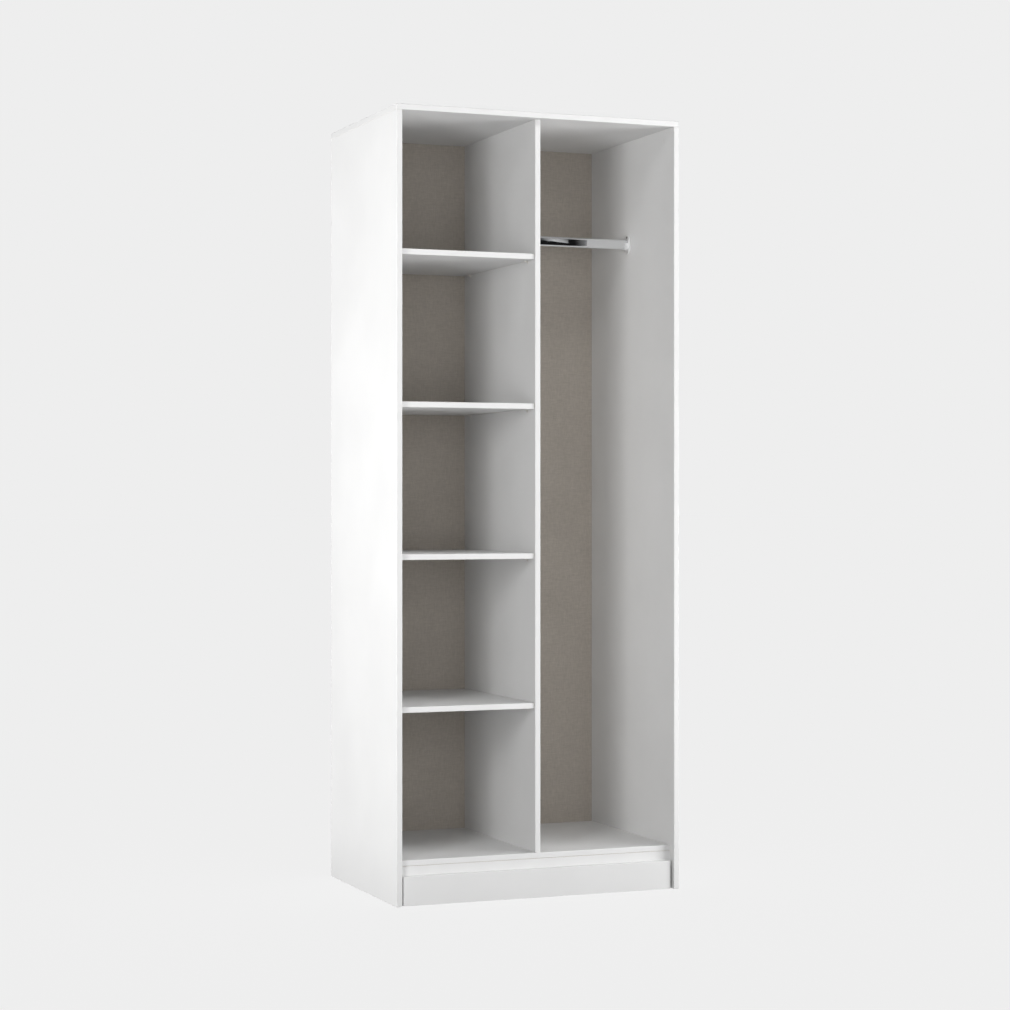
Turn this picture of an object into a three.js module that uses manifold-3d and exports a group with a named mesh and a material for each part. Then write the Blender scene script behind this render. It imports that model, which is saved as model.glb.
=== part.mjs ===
// Open wardrobe carcass of melamine-faced board: shelves on the left, a hanging rail on the right, and
// a base with a plinth board set forward of it. Millimetres, +X right, +Y to the back, +Z up, the open
// front faces -Y. The origin is on the floor, in the middle of the footprint.

import * as THREE from 'three';
import { mergeVertices } from 'three/addons/utils/BufferGeometryUtils.js';
import Module from 'manifold-3d';

const wasm = await Module();
wasm.setup();

// ---------------------------------------------------------------- driving dimensions

const WIDTH = 850;
const DEPTH = 585;
const HEIGHT = 2185;
const BOARD = 16;

const FRONT_RECESS = 25; // partition, bottom and base rails behind the sides' front edges
const BASE_CLEARANCE = 106; // underside of the bottom panel above the lower edge of the sides
const BASE_RAIL_HEIGHT = 100;
const PLINTH_HEIGHT = 80;
const PLINTH_END_GAP = 6;

const BACK_THICKNESS = 3;
const BACK_LIP = 5; // board left standing behind the back panels
const BACK_TONGUE = 6; // how far a back panel enters its groove
const BACK_SEAM = 0.5; // gap between the two back panels, behind the partition
const GROOVE_GAP = 0.3; // clearance round a back panel in its groove

const SHELF_COUNT = 4;
const TOP_SPACE = 374; // clear height over the uppermost shelf
const SHELF_RECESS = 5; // behind the partition's front edge
const SHELF_SIDE_GAP = 1;
const SHELF_BACK_GAP = 2;

const PIN_INSET = 50; // shelf pins from the shelf's front and back edges
const PIN_RADIUS = 2.4;
const PIN_BORE_RADIUS = 2.75;
const PIN_DEPTH = 8;
const PIN_COLLAR_RADIUS = 4;
const PIN_COLLAR_THICKNESS = 1.2;
const PIN_TONGUE_LENGTH = 9;
const PIN_TONGUE_WIDTH = 7;
const PIN_TONGUE_THICKNESS = 2;
const PIN_WEB_LENGTH = 7.5; // the rib under the tongue, along it
const PIN_WEB_DROP = 6.5; // and down the collar

const RAIL_SETBACK = 314; // rail's middle behind the sides' front edges
const RAIL_DROP = 305; // rail's middle under the top panel
const RAIL_HEIGHT = 30;
const RAIL_WIDTH = 15;
const RAIL_WALL = 1.2;
const RAIL_END_GAP = 0.5;

const FLANGE_SIDE = 7.5; // flange beyond the rail, front and back
const FLANGE_END = 13; // and above and below it
const FLANGE_THICKNESS = 3;
const SOCKET_REACH = 13; // flange and cup together
const CUP_GAP = 0.4; // round the rail
const CUP_WALL = 2;
const CUP_RIM = 4; // top of the cup's cheeks above the rail's middle
const FIXING_MARGIN = 6.5; // from the rail up to the screw and down to the spigot
const SPIGOT_LENGTH = 8;
const SCREW_RADIUS = 1.6;
const SCREW_HEAD_RADIUS = 3.4;
const SCREW_LENGTH = 14;
const SCREW_GAP = 0.3;
const RECESS_LENGTH = 4; // the cross recess in a screw's head
const RECESS_WIDTH = 0.8;
const RECESS_DEPTH = 1;
const BORE_END_GAP = 1; // a blind bore is this much deeper than what sits in it

const JOINT_INSET = 45; // cam joints and dowels from the front and back edges of the bottom panel
const CAM_REACH = 34; // from the joint to the cam's middle
const CAM_RADIUS = 7.2;
const CAM_UNDER_BOLT = 4.5; // cam below the bolt's middle
const CAM_SUNK = 0.2;
const CAM_BORE_RADIUS = 7.6;
const CAM_MOUTH_RADIUS = 3.5;
const CAM_MOUTH_DEPTH = 4.5; // past the cam's middle
const CAM_SLOT_LENGTH = 8;
const CAM_SLOT_WIDTH = 1.2;
const CAM_SLOT_DEPTH = 1.5;

const BOLT_THREAD_RADIUS = 2.35;
const BOLT_THREAD_LENGTH = 11;
const BOLT_THREAD_BORE_RADIUS = 2.75;
const BOLT_TIP = 1; // the cone at the end of the thread
const BOLT_SHANK_RADIUS = 3;
const BOLT_SHANK_LENGTH = 27;
const BOLT_NECK_RADIUS = 1.9;
const BOLT_HEAD_RADIUS = 3;
const BOLT_HEAD_LENGTH = 3.5;
const BOLT_HEAD_PAST_CAM = 1.8; // end of the head past the cam's middle
const BOLT_BORE_RADIUS = 3.9;

const DOWEL_RADIUS = 3.9;
const DOWEL_LENGTH = 30;
const DOWEL_CHAMFER = 1;
const DOWEL_BORE_RADIUS = 4.3;
const DOWEL_IN_PANEL = 11; // in the face of the top or bottom panel, the rest is in the partition

const GLIDE_HEIGHT = 2;
const GLIDE_RADIUS = 6.5;
const GLIDE_INSET = 40; // from the side's front and back edges
const GLIDE_EDGE = 0.5;
const NAIL_RADIUS = 1;
const NAIL_LENGTH = 12;
const NAIL_GAP = 0.3;

const BORE_SIDES = 12;
const CAM_SIDES = 20;
const ARC_SEGMENTS = 5; // an arc of the extruded outlines has twice as many
const OVERSHOOT = 1; // cutters start this far outside the board
const WELD = 1e-4; // vertices closer than this are one

// ---------------------------------------------------------------- places worked out from them

const sideInner = WIDTH / 2 - BOARD;
const front = -DEPTH / 2;
const rear = DEPTH / 2;
const backFace = rear - BACK_LIP - BACK_THICKNESS;
const innerFront = front + FRONT_RECESS;
const sideFoot = GLIDE_HEIGHT;
const topUnderside = HEIGHT - BOARD;
const bottomUnderside = sideFoot + BASE_CLEARANCE;
const bottomTop = bottomUnderside + BOARD;
const partitionFace = BOARD / 2;
const jointFront = innerFront + JOINT_INSET;
const jointBack = backFace - JOINT_INSET;
const shelfFront = innerFront + SHELF_RECESS;
const shelfBack = backFace - SHELF_BACK_GAP;
const shelfPitch = (topUnderside - TOP_SPACE - bottomTop) / SHELF_COUNT;
const railY = front + RAIL_SETBACK;
const railZ = topUnderside - RAIL_DROP;
const fixingOffset = RAIL_HEIGHT / 2 + FIXING_MARGIN;
const camHeight = BOARD / 2 + CAM_UNDER_BOLT;

const X = new THREE.Vector3(1, 0, 0);
const Y = new THREE.Vector3(0, 1, 0);
const Z = new THREE.Vector3(0, 0, 1);
const LEFT = X.clone().negate();
const DOWN = Z.clone().negate();

// ---------------------------------------------------------------- finishes

const whiteMelamine = { color: 0xf3f3f1, roughness: 0.45, metalness: 0 };
const linenHardboard = { color: 0xa79f96, roughness: 0.7, metalness: 0 };
const chrome = { color: 0xdfe1e4, roughness: 0.12, metalness: 1 };
const nickel = { color: 0xc9c7c1, roughness: 0.3, metalness: 1 };
const zinc = { color: 0xb4b6b8, roughness: 0.4, metalness: 1 };
const beech = { color: 0xcfa877, roughness: 0.7, metalness: 0 };
const whitePlastic = { color: 0xe9e9e6, roughness: 0.5, metalness: 0 };

// ---------------------------------------------------------------- shaping

const wardrobe = new THREE.Group();
wardrobe.name = 'wardrobe';

function solid(geometry) {
  const bare = geometry.clone();
  bare.deleteAttribute('normal');
  bare.deleteAttribute('uv');
  const merged = mergeVertices(bare, WELD);
  return new wasm.Manifold(new wasm.Mesh({
    numProp: 3,
    vertProperties: new Float32Array(merged.attributes.position.array),
    triVerts: new Uint32Array(merged.index.array),
  }));
}

function geometryOf(manifold) {
  const mesh = manifold.getMesh();
  const geometry = new THREE.BufferGeometry();
  geometry.setAttribute('position', new THREE.BufferAttribute(mesh.vertProperties, 3));
  geometry.setIndex(new THREE.BufferAttribute(mesh.triVerts, 1));
  geometry.computeVertexNormals();
  return geometry;
}

function cut(geometry, cutters) {
  return geometryOf(cutters.reduce((left, cutter) => left.subtract(solid(cutter)), solid(geometry)));
}

function join(...geometries) {
  return geometryOf(geometries.map(solid).reduce((whole, part) => whole.add(part)));
}

function box(low, high) {
  const size = new THREE.Vector3().subVectors(high, low);
  const middle = new THREE.Vector3().addVectors(low, high).multiplyScalar(0.5);
  return new THREE.BoxGeometry(size.x, size.y, size.z).translate(middle.x, middle.y, middle.z);
}

function vec(x, y, z) {
  return new THREE.Vector3(x, y, z);
}

// A cylinder that starts at `start` and runs `length` along `direction`.
function rod(start, direction, radius, length, sides = BORE_SIDES) {
  const geometry = new THREE.CylinderGeometry(radius, radius, length, sides);
  geometry.translate(0, length / 2, 0);
  geometry.applyQuaternion(new THREE.Quaternion().setFromUnitVectors(Y, direction));
  return geometry.translate(start.x, start.y, start.z);
}

// The cutter for a blind bore whose mouth is at `mouth`.
function bore(mouth, direction, radius, depth, sides = BORE_SIDES) {
  const start = mouth.clone().addScaledVector(direction, -OVERSHOOT);
  return rod(start, direction, radius, depth + OVERSHOOT, sides);
}

function extruded(outline, depth) {
  return new THREE.ExtrudeGeometry(outline, { depth, bevelEnabled: false, curveSegments: ARC_SEGMENTS });
}

// A turned piece about its own Z axis. The profile is a list of [radius, height] from axis to axis.
function turned(profile, sides = BORE_SIDES) {
  const points = profile.map(([radius, height]) => new THREE.Vector2(radius, height));
  return new THREE.LatheGeometry(points, sides).rotateX(Math.PI / 2);
}

function add(name, geometry, finish, origin, zAxis = Z, yAxis = Y) {
  const material = new THREE.MeshStandardMaterial({ ...finish, flatShading: true });
  const mesh = new THREE.Mesh(geometry, material);
  mesh.name = name;
  const xAxis = new THREE.Vector3().crossVectors(yAxis, zAxis);
  mesh.quaternion.setFromRotationMatrix(new THREE.Matrix4().makeBasis(xAxis, yAxis, zAxis));
  mesh.position.copy(origin);
  wardrobe.add(mesh);
  return mesh;
}

// A board between two corners, less the cutters, all given in the wardrobe's frame.
function addBoard(name, low, high, finish, cutters = []) {
  const middle = new THREE.Vector3().addVectors(low, high).multiplyScalar(0.5);
  const shaped = cutters.length ? cut(box(low, high), cutters) : box(low, high);
  add(name, shaped.translate(-middle.x, -middle.y, -middle.z), finish, middle);
}

// ---------------------------------------------------------------- fittings
// Each fitting adds its own pieces, and leaves its bores with the boards that it goes into.

const bores = { left_side: [], right_side: [], top_panel: [], bottom_panel: [], partition: [] };

function camGeometry() {
  const body = rod(vec(0, 0, -camHeight), Z, CAM_RADIUS, camHeight, CAM_SIDES);
  const boltHeight = CAM_SUNK - BOARD / 2;
  const mouth = bore(vec(CAM_RADIUS, 0, boltHeight), LEFT, CAM_MOUTH_RADIUS, CAM_RADIUS + CAM_MOUTH_DEPTH);
  const half = CAM_SLOT_LENGTH / 2;
  const thin = CAM_SLOT_WIDTH / 2;
  const slotAlong = box(vec(-half, -thin, -CAM_SLOT_DEPTH), vec(half, thin, OVERSHOOT));
  const slotAcross = box(vec(-thin, -half, -CAM_SLOT_DEPTH), vec(thin, half, OVERSHOOT));
  return cut(body, [mouth, slotAlong, slotAcross]);
}

// The thread points along +Z from the joint, the shank and head along -Z to the cam.
function boltGeometry() {
  const headEnd = -(CAM_REACH + BOLT_HEAD_PAST_CAM);
  const headStart = headEnd + BOLT_HEAD_LENGTH;
  return turned([
    [0, headEnd],
    [BOLT_HEAD_RADIUS, headEnd],
    [BOLT_HEAD_RADIUS, headStart],
    [BOLT_NECK_RADIUS, headStart],
    [BOLT_NECK_RADIUS, -BOLT_SHANK_LENGTH],
    [BOLT_SHANK_RADIUS, -BOLT_SHANK_LENGTH],
    [BOLT_SHANK_RADIUS, 0],
    [BOLT_THREAD_RADIUS, 0],
    [BOLT_THREAD_RADIUS, BOLT_THREAD_LENGTH - BOLT_TIP],
    [0, BOLT_THREAD_LENGTH],
  ]);
}

// `seam` is where the bolt crosses the joint, `run` points from there to the cam, and `face` points out
// of the face that the cam is let into.
function addCamJoint(name, camBoard, boltBoard, seam, run, face) {
  const back = run.clone().negate();
  const mouth = seam.clone().addScaledVector(run, CAM_REACH).addScaledVector(face, BOARD / 2);
  const seat = mouth.clone().addScaledVector(face, -CAM_SUNK);
  add(`bolt_${name}`, boltGeometry(), zinc, seam, back, face);
  add(`cam_${name}`, camGeometry(), zinc, seat, face, new THREE.Vector3().crossVectors(face, back));
  const inwards = face.clone().negate();
  bores[boltBoard].push(bore(seam, back, BOLT_THREAD_BORE_RADIUS, BOLT_THREAD_LENGTH + BORE_END_GAP));
  bores[camBoard].push(bore(seam, run, BOLT_BORE_RADIUS, CAM_REACH));
  bores[camBoard].push(bore(mouth, inwards, CAM_BORE_RADIUS, camHeight + 2 * CAM_SUNK, CAM_SIDES));
}

function addDowel(name, panel, seam, intoPanel) {
  const intoPartition = intoPanel.clone().negate();
  const rest = DOWEL_LENGTH - DOWEL_IN_PANEL;
  const geometry = turned([
    [0, -rest],
    [DOWEL_RADIUS - DOWEL_CHAMFER, -rest],
    [DOWEL_RADIUS, DOWEL_CHAMFER - rest],
    [DOWEL_RADIUS, DOWEL_IN_PANEL - DOWEL_CHAMFER],
    [DOWEL_RADIUS - DOWEL_CHAMFER, DOWEL_IN_PANEL],
    [0, DOWEL_IN_PANEL],
  ]);
  add(`dowel_${name}`, geometry, beech, seam, intoPanel, Y);
  bores[panel].push(bore(seam, intoPanel, DOWEL_BORE_RADIUS, DOWEL_IN_PANEL + BORE_END_GAP));
  bores.partition.push(bore(seam, intoPartition, DOWEL_BORE_RADIUS, rest + BORE_END_GAP));
}

// A spoon pin: peg, collar and a flat tongue, whose top the shelf lies on. +Z points out of the board.
function pinGeometry() {
  const pegLength = PIN_DEPTH + PIN_COLLAR_THICKNESS / 2;
  const peg = rod(vec(0, -PIN_COLLAR_RADIUS, -PIN_DEPTH), Z, PIN_RADIUS, pegLength);
  const collar = rod(vec(0, -PIN_COLLAR_RADIUS, 0), Z, PIN_COLLAR_RADIUS, PIN_COLLAR_THICKNESS);
  const half = PIN_TONGUE_WIDTH / 2;
  const low = vec(-half, -PIN_TONGUE_THICKNESS, PIN_COLLAR_THICKNESS / 2);
  const tongue = box(low, vec(half, 0, PIN_TONGUE_LENGTH));
  const web = new THREE.Shape();
  web.moveTo(0, -PIN_TONGUE_THICKNESS / 2);
  web.lineTo(0, -PIN_WEB_DROP);
  web.lineTo(PIN_WEB_LENGTH, -PIN_TONGUE_THICKNESS / 2);
  web.closePath();
  const rib = extruded(web, PIN_TONGUE_THICKNESS);
  rib.translate(0, 0, -PIN_TONGUE_THICKNESS / 2).rotateY(-Math.PI / 2);
  rib.translate(0, 0, PIN_COLLAR_THICKNESS / 2);
  return join(peg, collar, tongue, rib);
}

function addPin(name, board, place, outwards) {
  add(name, pinGeometry(), nickel, place, outwards, Z);
  const mouth = place.clone().addScaledVector(DOWN, PIN_COLLAR_RADIUS);
  bores[board].push(bore(mouth, outwards.clone().negate(), PIN_BORE_RADIUS, PIN_DEPTH + BORE_END_GAP));
}

// An upright oval: two half rounds and the straights between them.
function ovalOutline(width, height, outline) {
  const radius = width / 2;
  const straight = height / 2 - radius;
  outline.absarc(0, straight, radius, 0, Math.PI, false);
  outline.absarc(0, -straight, radius, Math.PI, 2 * Math.PI, false);
  outline.closePath();
  return outline;
}

function cupOutline() {
  const inner = RAIL_WIDTH / 2 + CUP_GAP;
  const outer = inner + CUP_WALL;
  const turn = -(RAIL_HEIGHT - RAIL_WIDTH) / 2;
  const outline = new THREE.Shape();
  outline.moveTo(-outer, CUP_RIM);
  outline.lineTo(-outer, turn);
  outline.absarc(0, turn, outer, Math.PI, 2 * Math.PI, false);
  outline.lineTo(outer, CUP_RIM);
  outline.lineTo(inner, CUP_RIM);
  outline.lineTo(inner, turn);
  outline.absarc(0, turn, inner, 2 * Math.PI, Math.PI, true);
  outline.lineTo(-inner, CUP_RIM);
  outline.closePath();
  return outline;
}

// Flange, open-topped cup and spigot in one casting. +Z points out of the board, +Y up.
function socketGeometry() {
  const width = RAIL_WIDTH + 2 * FLANGE_SIDE;
  const height = RAIL_HEIGHT + 2 * FLANGE_END;
  const flange = extruded(ovalOutline(width, height, new THREE.Shape()), FLANGE_THICKNESS);
  const root = FLANGE_THICKNESS / 2;
  const cup = extruded(cupOutline(), SOCKET_REACH - root).translate(0, 0, root);
  const spigotStart = vec(0, -fixingOffset, -SPIGOT_LENGTH);
  const spigot = rod(spigotStart, Z, PIN_RADIUS, SPIGOT_LENGTH + root);
  const screwHole = bore(vec(0, fixingOffset, 0), Z, SCREW_RADIUS + SCREW_GAP, FLANGE_THICKNESS + OVERSHOOT);
  const wide = SCREW_HEAD_RADIUS + SCREW_GAP;
  const flare = wide - SCREW_RADIUS - SCREW_GAP;
  const countersink = turned([
    [0, FLANGE_THICKNESS - flare],
    [SCREW_RADIUS + SCREW_GAP, FLANGE_THICKNESS - flare],
    [wide, FLANGE_THICKNESS],
    [wide, FLANGE_THICKNESS + OVERSHOOT],
    [0, FLANGE_THICKNESS + OVERSHOOT],
  ]).translate(0, fixingOffset, 0);
  return cut(join(flange, cup, spigot), [screwHole, countersink]);
}

// A countersunk screw whose head is flush with z = 0, with a cross recess.
function screwGeometry() {
  const flare = SCREW_HEAD_RADIUS - SCREW_RADIUS;
  const body = turned([
    [0, -SCREW_LENGTH],
    [SCREW_RADIUS, 2 * SCREW_RADIUS - SCREW_LENGTH],
    [SCREW_RADIUS, -flare],
    [SCREW_HEAD_RADIUS, 0],
    [0, 0],
  ]);
  const half = RECESS_LENGTH / 2;
  const thin = RECESS_WIDTH / 2;
  const recess = [
    box(vec(-half, -thin, -RECESS_DEPTH), vec(half, thin, OVERSHOOT)),
    box(vec(-thin, -half, -RECESS_DEPTH), vec(thin, half, OVERSHOOT)),
  ];
  return cut(body, recess);
}

function addSocket(name, board, place, outwards) {
  const inwards = outwards.clone().negate();
  add(`rail_socket_${name}`, socketGeometry(), chrome, place, outwards, Z);
  const screwMouth = place.clone().addScaledVector(Z, fixingOffset);
  const screwSeat = screwMouth.clone().addScaledVector(outwards, FLANGE_THICKNESS);
  add(`rail_screw_${name}`, screwGeometry(), nickel, screwSeat, outwards, Z);
  const screwDepth = SCREW_LENGTH - FLANGE_THICKNESS + BORE_END_GAP;
  bores[board].push(bore(screwMouth, inwards, SCREW_RADIUS + SCREW_GAP, screwDepth));
  const spigotMouth = place.clone().addScaledVector(DOWN, fixingOffset);
  bores[board].push(bore(spigotMouth, inwards, PIN_BORE_RADIUS, SPIGOT_LENGTH + BORE_END_GAP));
}

function addGlide(name, board, place) {
  const geometry = turned([
    [0, -GLIDE_HEIGHT],
    [GLIDE_RADIUS - GLIDE_EDGE, -GLIDE_HEIGHT],
    [GLIDE_RADIUS, GLIDE_EDGE - GLIDE_HEIGHT],
    [GLIDE_RADIUS, 0],
    [NAIL_RADIUS, 0],
    [NAIL_RADIUS, NAIL_LENGTH - NAIL_RADIUS],
    [0, NAIL_LENGTH],
  ]);
  add(`glide_${name}`, geometry, whitePlastic, place);
  bores[board].push(bore(place, Z, NAIL_RADIUS + NAIL_GAP, NAIL_LENGTH + NAIL_GAP));
}

// ---------------------------------------------------------------- the fittings in their places

const depthwise = { front: jointFront, back: jointBack };
for (const [place, y] of Object.entries(depthwise)) {
  const edge = sideInner + BOARD / 2;
  const leftTop = vec(-edge, y, topUnderside);
  const rightTop = vec(edge, y, topUnderside);
  const leftBase = vec(-sideInner, y, bottomUnderside + BOARD / 2);
  const rightBase = vec(sideInner, y, bottomUnderside + BOARD / 2);
  addCamJoint(`top_left_${place}`, 'left_side', 'top_panel', leftTop, DOWN, X);
  addCamJoint(`top_right_${place}`, 'right_side', 'top_panel', rightTop, DOWN, LEFT);
  addCamJoint(`base_left_${place}`, 'bottom_panel', 'left_side', leftBase, X, DOWN);
  addCamJoint(`base_right_${place}`, 'bottom_panel', 'right_side', rightBase, LEFT, DOWN);
  addDowel(`top_${place}`, 'top_panel', vec(0, y, topUnderside), Z);
  addDowel(`base_${place}`, 'bottom_panel', vec(0, y, bottomTop), DOWN);
}

const glidePlaces = { front: front + GLIDE_INSET, back: backFace - GLIDE_INSET };
for (const [place, y] of Object.entries(glidePlaces)) {
  const edge = sideInner + BOARD / 2;
  addGlide(`left_${place}`, 'left_side', vec(-edge, y, sideFoot));
  addGlide(`right_${place}`, 'right_side', vec(edge, y, sideFoot));
}

const pinPlaces = { front: shelfFront + PIN_INSET, back: shelfBack - PIN_INSET };
for (let shelf = 1; shelf <= SHELF_COUNT; shelf += 1) {
  const top = bottomTop + shelf * shelfPitch;
  const low = vec(-sideInner + SHELF_SIDE_GAP, shelfFront, top - BOARD);
  const high = vec(-partitionFace - SHELF_SIDE_GAP, shelfBack, top);
  addBoard(`shelf_${shelf}`, low, high, whiteMelamine);
  for (const [place, y] of Object.entries(pinPlaces)) {
    addPin(`shelf_${shelf}_pin_left_${place}`, 'left_side', vec(-sideInner, y, top - BOARD), X);
    addPin(`shelf_${shelf}_pin_right_${place}`, 'partition', vec(-partitionFace, y, top - BOARD), LEFT);
  }
}

addSocket('left', 'partition', vec(partitionFace, railY, railZ), X);
addSocket('right', 'right_side', vec(sideInner, railY, railZ), LEFT);

function railGeometry(length) {
  const outline = ovalOutline(RAIL_WIDTH, RAIL_HEIGHT, new THREE.Shape());
  const wall = 2 * RAIL_WALL;
  outline.holes.push(ovalOutline(RAIL_WIDTH - wall, RAIL_HEIGHT - wall, new THREE.Path()));
  return extruded(outline, length);
}

const railStart = partitionFace + FLANGE_THICKNESS + RAIL_END_GAP;
const railEnd = sideInner - FLANGE_THICKNESS - RAIL_END_GAP;
add('hanging_rail', railGeometry(railEnd - railStart), chrome, vec(railStart, railY, railZ), X, Z);

// ---------------------------------------------------------------- the boards

const grooveFront = backFace - GROOVE_GAP;
const grooveBack = backFace + BACK_THICKNESS + GROOVE_GAP;
const grooveDepth = BACK_TONGUE + GROOVE_GAP;

function addSide(name, inner, outer, outwards) {
  const low = vec(Math.min(inner, outer), front, sideFoot);
  const high = vec(Math.max(inner, outer), rear, topUnderside);
  const floorOfGroove = inner + outwards * grooveDepth;
  const mouthOfGroove = inner - outwards * OVERSHOOT;
  const left = Math.min(floorOfGroove, mouthOfGroove);
  const right = Math.max(floorOfGroove, mouthOfGroove);
  const grooveLow = vec(left, grooveFront, sideFoot - OVERSHOOT);
  const groove = box(grooveLow, vec(right, grooveBack, topUnderside + OVERSHOOT));
  addBoard(name, low, high, whiteMelamine, [groove, ...bores[name]]);
}
addSide('left_side', -sideInner, -WIDTH / 2, -1);
addSide('right_side', sideInner, WIDTH / 2, 1);

const topGrooveEnd = sideInner + grooveDepth;
const topGroove = box(
  vec(-topGrooveEnd, grooveFront, topUnderside - OVERSHOOT),
  vec(topGrooveEnd, grooveBack, topUnderside + grooveDepth),
);
const topLow = vec(-WIDTH / 2, front, topUnderside);
addBoard('top_panel', topLow, vec(WIDTH / 2, rear, HEIGHT), whiteMelamine, [topGroove, ...bores.top_panel]);

const bottomLow = vec(-sideInner, innerFront, bottomUnderside);
addBoard('bottom_panel', bottomLow, vec(sideInner, backFace, bottomTop), whiteMelamine, bores.bottom_panel);

const partitionLow = vec(-partitionFace, innerFront, bottomTop);
const partitionHigh = vec(partitionFace, backFace, topUnderside);
addBoard('partition', partitionLow, partitionHigh, whiteMelamine, bores.partition);

const railFoot = bottomUnderside - BASE_RAIL_HEIGHT;
function addBaseRail(name, y) {
  const high = vec(sideInner, y + BOARD, bottomUnderside);
  addBoard(name, vec(-sideInner, y, railFoot), high, whiteMelamine);
}
addBaseRail('base_rail_front', innerFront);
addBaseRail('base_rail_back', backFace - BOARD);

const plinthEnd = sideInner - PLINTH_END_GAP;
const plinthLow = vec(-plinthEnd, innerFront - BOARD, sideFoot);
addBoard('plinth_board', plinthLow, vec(plinthEnd, innerFront, sideFoot + PLINTH_HEIGHT), whiteMelamine);

function addBackPanel(name, inner, outer) {
  const low = vec(Math.min(inner, outer), backFace, bottomUnderside);
  const high = vec(Math.max(inner, outer), backFace + BACK_THICKNESS, topUnderside + BACK_TONGUE);
  addBoard(name, low, high, linenHardboard);
}
addBackPanel('back_panel_left', -BACK_SEAM / 2, -sideInner - BACK_TONGUE);
addBackPanel('back_panel_right', BACK_SEAM / 2, sideInner + BACK_TONGUE);

export default wardrobe;
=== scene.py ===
import math
import bmesh
import bpy
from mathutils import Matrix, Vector


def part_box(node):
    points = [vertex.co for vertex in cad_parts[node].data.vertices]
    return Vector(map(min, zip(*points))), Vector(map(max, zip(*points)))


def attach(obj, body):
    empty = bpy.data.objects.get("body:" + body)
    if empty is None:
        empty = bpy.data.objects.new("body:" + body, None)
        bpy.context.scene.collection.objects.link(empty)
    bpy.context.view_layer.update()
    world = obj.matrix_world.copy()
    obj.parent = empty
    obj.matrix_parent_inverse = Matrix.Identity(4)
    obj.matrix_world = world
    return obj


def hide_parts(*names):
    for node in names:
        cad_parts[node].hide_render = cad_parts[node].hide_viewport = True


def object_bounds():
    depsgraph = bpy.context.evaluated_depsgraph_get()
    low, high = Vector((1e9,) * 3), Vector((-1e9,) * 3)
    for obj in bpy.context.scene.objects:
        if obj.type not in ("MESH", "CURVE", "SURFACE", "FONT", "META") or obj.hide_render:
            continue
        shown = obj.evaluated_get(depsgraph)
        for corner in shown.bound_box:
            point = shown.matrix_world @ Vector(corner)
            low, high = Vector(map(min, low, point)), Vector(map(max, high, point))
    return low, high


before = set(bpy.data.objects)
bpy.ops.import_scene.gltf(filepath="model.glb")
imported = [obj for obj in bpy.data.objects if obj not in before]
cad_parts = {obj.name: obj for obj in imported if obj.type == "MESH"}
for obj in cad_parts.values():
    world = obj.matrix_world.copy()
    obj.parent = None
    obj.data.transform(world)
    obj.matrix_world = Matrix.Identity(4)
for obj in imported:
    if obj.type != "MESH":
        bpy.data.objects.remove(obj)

cad_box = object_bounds()
low_corner = cad_box[0]
scene = bpy.context.scene

# ---------------- camera
# A long lens at half the wardrobe's height, level, a good twenty degrees round to the left of the front,
# so that the left side shows outside and the partition and the right side show inside.
eye = Vector((-2.5618, -6.4067, 1.1053))
heading = math.radians(21.74)
bpy.ops.object.camera_add(location=eye, rotation=(math.pi / 2, 0, -heading))
camera = bpy.context.object
camera.data.sensor_width = 36
camera.data.lens = 85
camera.data.shift_x = 0.005
camera.data.shift_y = -0.0041
camera.data.clip_end = 400
scene.camera = camera
scene.view_settings.view_transform = "Standard"


# ---------------- studio
# A pale floor without an end in a dim room. To the camera the floor and what lies behind it are one pale
# tone, so that no horizon shows. Tall soft boxes stand round the wardrobe, the brightest at its left side.
BACKDROP = 0.855
ROOM = 0.003
FLOOR_SIZE = 300
FLOOR_SHADE = 0.06
# Painted light: to everything but the camera the floor glows, by metres from the wardrobe's axis, the most in
# a painted pool where the lamps would light it. The lamps themselves don't reach the floor.
PAINTED_FLOOR_POOL = ((0.0, 0.22), (0.8, 0.35), (1.2, 0.75), (1.8, 0.75), (2.3, 0.3), (3.0, 0.12), (4.0, 0.04))
LAMPS_AIM = 1.1

world = bpy.data.worlds.new("studio")
scene.world = world
world.use_nodes = True
sky = world.node_tree.nodes
sky_links = world.node_tree.links
background = sky["Background"]
background.inputs["Color"].default_value = (1, 1, 1, 1)
sky_path = sky.new("ShaderNodeLightPath")
sky_tone = sky.new("ShaderNodeMix")
sky_tone.inputs["A"].default_value = ROOM
sky_tone.inputs["B"].default_value = BACKDROP
sky_links.new(sky_path.outputs["Is Camera Ray"], sky_tone.inputs["Factor"])
sky_links.new(sky_tone.outputs["Result"], background.inputs["Strength"])


def emission_card(name, location, rotation, size):
    """A stage plane that glows. Gives the plane, its material's node tree, the emission and the output."""
    bpy.ops.mesh.primitive_plane_add(size=1, location=location, rotation=rotation)
    card = bpy.context.object
    card.scale = (size[0], size[1], 1)
    bpy.ops.object.transform_apply(location=True, rotation=True, scale=True)
    card.name = name
    paint = bpy.data.materials.new(name)
    paint.use_nodes = True
    card.data.materials.append(paint)
    made = paint.node_tree
    made.nodes.clear()
    emission = made.nodes.new("ShaderNodeEmission")
    result = made.nodes.new("ShaderNodeOutputMaterial")
    made.links.new(emission.outputs["Emission"], result.inputs["Surface"])
    return card, made, emission, result


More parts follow.
